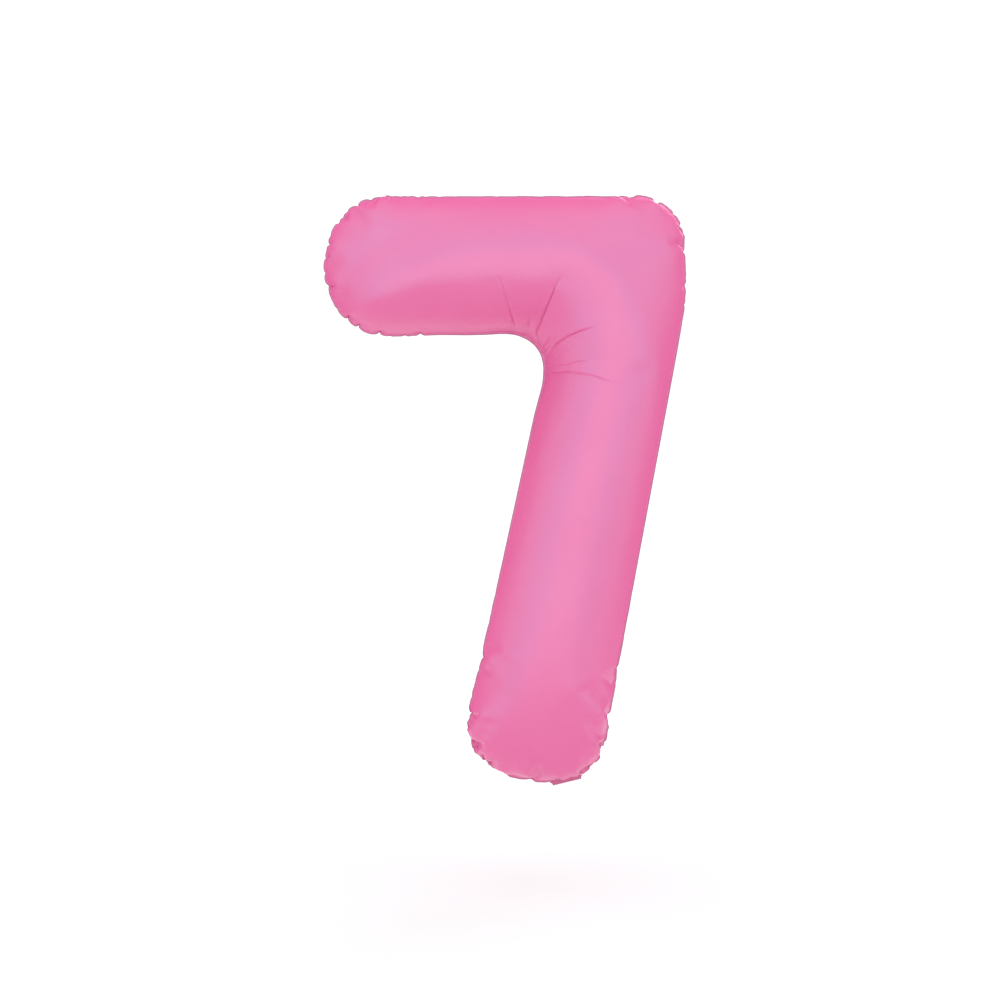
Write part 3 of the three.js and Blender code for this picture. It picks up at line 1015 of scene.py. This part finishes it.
def filmGrainGroup():
    # the print's fine tooth and the slow unevenness of a thin film, as a height in metres
    group, given, out = newGroup("filmGrain", [
        ("Grain Size", "NodeSocketFloat", 1400.0),
        ("Grain Depth", "NodeSocketFloat", 0.00002),
        ("Swell Size", "NodeSocketFloat", 30.0),
        ("Swell Depth", "NodeSocketFloat", 0.0002),
    ], [("Height", "NodeSocketFloat"), ("Tooth", "NodeSocketFloat")])
    place = group.nodes.new("ShaderNodeTexCoord").outputs["Object"]
    grain = addNoise(group, place, given.outputs["Grain Size"], 2.0, 0.6)
    swell = addNoise(group, place, given.outputs["Swell Size"], 1.0, 0.4)
    fine = addMath(group, "MULTIPLY", grain, given.outputs["Grain Depth"])
    slow = addMath(group, "MULTIPLY", swell, given.outputs["Swell Depth"])
    group.links.new(addMath(group, "ADD", fine, slow), out.inputs["Height"])
    group.links.new(grain, out.inputs["Tooth"])
    return group


fineCreases = {
    "wanderSize": 45.0,
    "wander": 1.6,
    "drawnOut": 45.0,        # across the weld the creases change slowly, along it they are close together
    "inward": 1.5,           # how soon they die out
    "pull": 5.0,             # how little gathering is enough for them
    "fanWander": 0.10,
    "fanRays": 26.0,
    "fanAlong": 14.0,
    "fanSharpness": 9.0,
    "fanReach": 0.115,
    "margin": (-0.0004, -0.0022),   # where the margin's painted shade begins and is full, out from the weld
}


def creaseGroup():
    # small creases that run away from the weld where it is gathered, and fan out from the inner corner
    group, given, out = newGroup("weldCreases", [
        ("Crease Depth", "NodeSocketFloat", 0.00012),
        ("Crease Pitch", "NodeSocketFloat", 0.0030),
        ("Crease Reach", "NodeSocketFloat", 0.030),
        ("Fan Depth", "NodeSocketFloat", 0.00020),
    ], [("Height", "NodeSocketFloat"), ("Mask", "NodeSocketFloat"), ("Margin", "NodeSocketFloat")])
    fine = fineCreases
    fields = {}
    for label in ("weldRun", "weldGap", "gathered", "fanTurn", "fanReach"):
        node = group.nodes.new("ShaderNodeAttribute")
        node.attribute_name = label
        fields[label] = node.outputs["Fac"]

    def calc(operation, a, b=None, clamp=False):
        return addMath(group, operation, a, b, clamp)

    def ridged(x, y, roughness):
        # distance from the middle of a noise that is laid out over x and y
        spot = group.nodes.new("ShaderNodeCombineXYZ")
        group.links.new(x, spot.inputs["X"])
        group.links.new(y, spot.inputs["Y"])
        noise = addNoise(group, spot.outputs["Vector"], 1.0, 2.0, roughness)
        return calc("ABSOLUTE", calc("SUBTRACT", noise, 0.5))

    place = group.nodes.new("ShaderNodeTexCoord").outputs["Object"]
    wander = addNoise(group, place, fine["wanderSize"], 2.0)
    along = calc("DIVIDE", fields["weldRun"], given.outputs["Crease Pitch"])
    along = calc("ADD", along, calc("MULTIPLY", wander, fine["wander"]))
    ridges = ridged(along, calc("MULTIPLY", fields["weldGap"], fine["drawnOut"]), 0.55)
    near = calc("DIVIDE", fields["weldGap"], given.outputs["Crease Reach"], clamp=True)
    near = calc("POWER", calc("SUBTRACT", 1.0, near), fine["inward"])
    rimMask = calc("MULTIPLY", near, calc("MULTIPLY", fields["gathered"], fine["pull"], clamp=True))
    shadedCrease = calc("MULTIPLY", ridges, rimMask)
    rim = calc("MULTIPLY", shadedCrease, given.outputs["Crease Depth"])
    turned = calc("ADD", fields["fanTurn"], calc("MULTIPLY", wander, fine["fanWander"]))
    turned = calc("MULTIPLY", turned, fine["fanRays"])
    fan = ridged(turned, calc("MULTIPLY", fields["fanReach"], fine["fanAlong"]), 0.5)
    fan = calc("SUBTRACT", 1.0, calc("MULTIPLY", fan, fine["fanSharpness"], clamp=True))
    far = calc("SUBTRACT", 1.0, calc("DIVIDE", fields["fanReach"], fine["fanReach"], clamp=True))
    fan = calc("MULTIPLY", fan, calc("POWER", far, 0.8))
    fanned = calc("MULTIPLY", fan, given.outputs["Fan Depth"])
    group.links.new(calc("SUBTRACT", rim, fanned), out.inputs["Height"])
    # the creases' mask also darkens the colour along them: painted shade
    group.links.new(shadedCrease, out.inputs["Mask"])
    # where the margin is darkened with painted shade
    group.links.new(addRange(group, fields["weldGap"], *fine["margin"], 0.0, 1.0), out.inputs["Margin"])
    return group


def inkAndShadeGroup():
    # ink that lies a little thicker and thinner at random, darkened with painted shade along the creases and
    # on the margin
    group, given, out = newGroup("inkAndPaintedShade", [
        ("Colour", "NodeSocketColor", (0.8, 0.8, 0.8, 1)),
        ("Deep Colour", "NodeSocketColor", (0.7, 0.7, 0.7, 1)),
        ("Drift Size", "NodeSocketFloat", 14.0),
        ("Crease Shade Mask", "NodeSocketFloat", 0.0),
        ("Painted Shade Colour", "NodeSocketColor", (0.5, 0.5, 0.5, 1)),
        ("Painted Shade Mask", "NodeSocketFloat", 0.0),
    ], [("Colour", "NodeSocketColor")])
    place = group.nodes.new("ShaderNodeTexCoord").outputs["Object"]
    noise = addNoise(group, place, given.outputs["Drift Size"], 3.0, 0.55)
    spread = addRange(group, noise, 0.35, 0.65, 0.0, 0.6)
    # painted shade along the creases is added to the random drift
    amount = addMath(group, "ADD", spread, given.outputs["Crease Shade Mask"], clamp=True)
    ink = addBlend(group, amount, given.outputs["Colour"], given.outputs["Deep Colour"])
    ink = addBlend(group, given.outputs["Painted Shade Mask"], ink, given.outputs["Painted Shade Colour"])
    group.links.new(ink, out.inputs["Colour"])
    return group


filmGrain = filmGrainGroup()
weldCreases = creaseGroup()
inkAndPaintedShade = inkAndShadeGroup()


def addGroup(tree, group, values):
    node = tree.nodes.new("ShaderNodeGroup")
    node.node_tree = group
    for label, value in values.items():
        node.inputs[label].default_value = value
    return node


def makeFinish(name, finish):
    made = bpy.data.materials.new(name)
    made.use_nodes = True
    tree = made.node_tree
    shader = tree.nodes["Principled BSDF"]
    for label, value in finish["sockets"].items():
        shader.inputs[label].default_value = value
    tooth = addGroup(tree, filmGrain, finish["grain"])
    height = tooth.outputs["Height"]
    ink = addGroup(tree, inkAndPaintedShade, {
        "Colour": finish["colour"],
        "Deep Colour": finish["deepColour"],
        "Drift Size": finish["driftSize"],
    })
    if "creases" in finish:
        folds = addGroup(tree, weldCreases, finish["creases"])
        # the margin is darkened with painted shade
        ink.inputs["Painted Shade Colour"].default_value = finish["marginShadeColour"]
        tree.links.new(folds.outputs["Mask"], ink.inputs["Crease Shade Mask"])
        tree.links.new(folds.outputs["Margin"], ink.inputs["Painted Shade Mask"])
        height = addMath(tree, "ADD", height, folds.outputs["Height"])
    tree.links.new(ink.outputs["Colour"], shader.inputs["Base Color"])
    band = addRange(tree, tooth.outputs["Tooth"], 0.0, 1.0, *finish["roughness"])
    tree.links.new(band, shader.inputs["Roughness"])
    bump = tree.nodes.new("ShaderNodeBump")
    bump.inputs["Distance"].default_value = 1.0   # the heights are in metres
    bump.inputs["Strength"].default_value = 1.0
    tree.links.new(height, bump.inputs["Height"])
    tree.links.new(bump.outputs["Normal"], shader.inputs["Normal"])
    return made


foilMaterial = makeFinish("matte_pink_foil", foilFinish)
weldMaterial = makeFinish("fused_rose_edge_painted_shade", weldFinish)
valveMaterial = makeFinish("clear_valve_film", valveFinish)
# the tail's seals take the weld's painted shade too
for node in ("tail_seal_left", "tail_seal_right"):
    frame["nodes"][node].data.materials[0] = weldMaterial
for node in ("valve_film_front", "valve_film_back", "valve_mouth_front", "valve_mouth_back"):
    frame["nodes"][node].data.materials[0] = valveMaterial
print("finishes made")


# the film is filled and fitted

tabRoots = [Vector(j["pos_m"]) for j in frame["joints"] if j["name"] != "tail_fold"]
anchors = [(np.zeros(2), fitting["tailAnchor"])]
anchors += [(np.array([root.x, root.z]), fitting["tabAnchor"]) for root in tabRoots]
flat, side, filmFaces, weldCount, filled = foilShape()
filled = fitToFigure(filled, weldCount, figure, anchors)
arcCentre = arcOfCorner(panelCut)
weldLines = weldFrame(flat, filled, weldCount)
nearestWeld, seamDistance = nearestOf(flat[:weldCount], flat)
filled = calmCorner(filled, side, flat, filmFaces, seamDistance, arcCentre)
filled = pressCreases(filled, flat, filmFaces, arcCentre)
spokes = flat - arcCentre
fields = {
    "weldRun": weldLines[1][nearestWeld],
    "gathered": weldLines[2][nearestWeld],
    "fanTurn": np.arctan2(spokes[:, 1], spokes[:, 0]),
    "fanReach": np.linalg.norm(spokes, axis=1) - panelCut["crotchRadius"],
}
half = len(filmFaces) // 2
foils = [
    panelMesh(name, way, weldLines, filled, seamDistance, faces, weldCount, fields, foilMaterial)
    for name, way, faces in (("front_foil", -1, filmFaces[:half]), ("back_foil", 1, filmFaces[half:]))
]
weld = weldBand("edge_weld", weldLines, filled, weldCount, weldMaterial)
nodeSlots = (("front_panel", "foil"), ("back_panel", "foil"), ("perimeter_seal", "seal"))
for piece, (node, slot) in zip((*foils, weld), nodeSlots):
    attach(piece, "envelope")
    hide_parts(node)
buildTail(foilMaterial)
buildTabs(foilMaterial)
print("film, weld, tail and tabs in place")

# the stage

stage = {
    "floorBelow": 0.125,
    "floorSize": 1.3,
    "floorCells": 16,
    "cameraAt": (-0.0856, -3.603, 0.3595),
    "lens": 100,
    "skyLight": 0.96,
    "seenSky": 1.1,
    "mirrorLight": 3.7,
    "mirrored": (            # from behind the figure to straight before it
        (0.0, (0.24, 0.03, 0.11)),
        (0.30, (0.24, 0.04, 0.12)),
        (0.56, (0.25, 0.50, 0.45)),
        (0.78, (0.24, 0.72, 0.58)),
        (0.88, (0.06, 0.90, 0.88)),
        (0.97, (0.46, 1.0, 0.76)),
    ),
}
# where each lamp stands, what it faces, its size, its watts, its colour and whether the film mirrors it
lamps = {
    "front": ((-0.5, -3.4, 1.3), (-0.1, 0, 0.4), (2.4, 1.8), 6, (1, 1, 1), False),
    "top": ((-0.1, 0.3, 3.0), (-0.1, 0.3, 0), (4.0, 4.0), 22, (1, 1, 1), False),
    "left": ((-2.3, -0.7, 0.7), (-0.1, 0, 0.4), (0.7, 2.0), 2, (0.86, 0.90, 1.0), False),
    "right": ((2.2, -0.9, 0.6), (-0.1, 0, 0.4), (0.6, 2.0), 2, (0.86, 0.90, 1.0), False),
    "rear": ((1.1, 3.2, 1.9), (-0.1, 0, 0.4), (1.6, 1.6), 14, (1, 1, 1), True),
}


def addFloor():
    height = min(corner[2] for corner in cadBounds) - stage["floorBelow"]
    count, size = stage["floorCells"], stage["floorSize"]
    steps = [2 * k * size / count - size for k in range(count + 1)]
    points = [(x + stage["cameraAt"][0], y, height) for y in steps for x in steps]
    corners = [j * (count + 1) + i for j in range(count) for i in range(count)]
    faces = [(i, i + 1, i + count + 2, i + count + 1) for i in corners]
    link("floor", points, faces, makeFinish("pale_floor", floorFinish))


def addLamp(name, location, target, size, power, colour, mirrored):
    lamp = bpy.data.lights.new(name, "AREA")
    lamp.shape = "RECTANGLE"
    lamp.size, lamp.size_y = size
    lamp.energy = power
    lamp.color = colour
    light = bpy.data.objects.new(name, lamp)
    light.location = location
    light.rotation_euler = (Vector(target) - Vector(location)).to_track_quat("-Z", "Y").to_euler()
    light.visible_glossy = mirrored
    bpy.context.scene.collection.objects.link(light)


def addSky():
    # an even white room; what the film mirrors is a soft bright patch before it, with a cool ring round it
    world = bpy.data.worlds.new("white room")
    bpy.context.scene.world = world
    world.use_nodes = True
    tree = world.node_tree
    room = tree.nodes["Background"]
    room.inputs["Color"].default_value = (1.0, 0.99, 0.99, 1)
    room.inputs["Strength"].default_value = stage["skyLight"]
    seen = tree.nodes.new("ShaderNodeBackground")
    seen.inputs["Color"].default_value = (1, 1, 1, 1)
    seen.inputs["Strength"].default_value = stage["seenSky"]
    place = tree.nodes.new("ShaderNodeTexCoord").outputs["Generated"]
    parts = tree.nodes.new("ShaderNodeSeparateXYZ")
    tree.links.new(place, parts.inputs["Vector"])
    facing = addMath(tree, "SUBTRACT", 0.5, addMath(tree, "MULTIPLY", parts.outputs["Y"], 0.5))
    ramp = tree.nodes.new("ShaderNodeValToRGB")
    ramp.color_ramp.interpolation = "B_SPLINE"
    for k, (at, colour) in enumerate(stage["mirrored"]):
        spot = ramp.color_ramp.elements[k] if k < 2 else ramp.color_ramp.elements.new(at)
        spot.position = at
        spot.color = (*colour, 1)
    tree.links.new(facing, ramp.inputs["Fac"])
    mirrored = tree.nodes.new("ShaderNodeBackground")
    mirrored.inputs["Strength"].default_value = stage["mirrorLight"]
    tree.links.new(ramp.outputs["Color"], mirrored.inputs["Color"])
    path = tree.nodes.new("ShaderNodeLightPath")
    glossy = tree.nodes.new("ShaderNodeMixShader")
    tree.links.new(path.outputs["Is Glossy Ray"], glossy.inputs["Fac"])
    tree.links.new(room.outputs["Background"], glossy.inputs[1])
    tree.links.new(mirrored.outputs["Background"], glossy.inputs[2])
    mix = tree.nodes.new("ShaderNodeMixShader")
    tree.links.new(path.outputs["Is Camera Ray"], mix.inputs["Fac"])
    tree.links.new(glossy.outputs["Shader"], mix.inputs[1])
    tree.links.new(seen.outputs["Background"], mix.inputs[2])
    tree.links.new(mix.outputs["Shader"], tree.nodes["World Output"].inputs["Surface"])


def addCamera():
    lens = bpy.data.cameras.new("camera")
    lens.lens = stage["lens"]
    lens.sensor_width = 36
    camera = bpy.data.objects.new("camera", lens)
    camera.location = stage["cameraAt"]
    camera.rotation_euler = (math.pi / 2, 0, 0)
    bpy.context.scene.collection.objects.link(camera)
    bpy.context.scene.camera = camera


addFloor()
for name, lamp in lamps.items():
    addLamp(name, *lamp)
addSky()
addCamera()
bpy.context.scene.view_settings.view_transform = "Standard"
print("stage set")

bpy.context.view_layer.update()
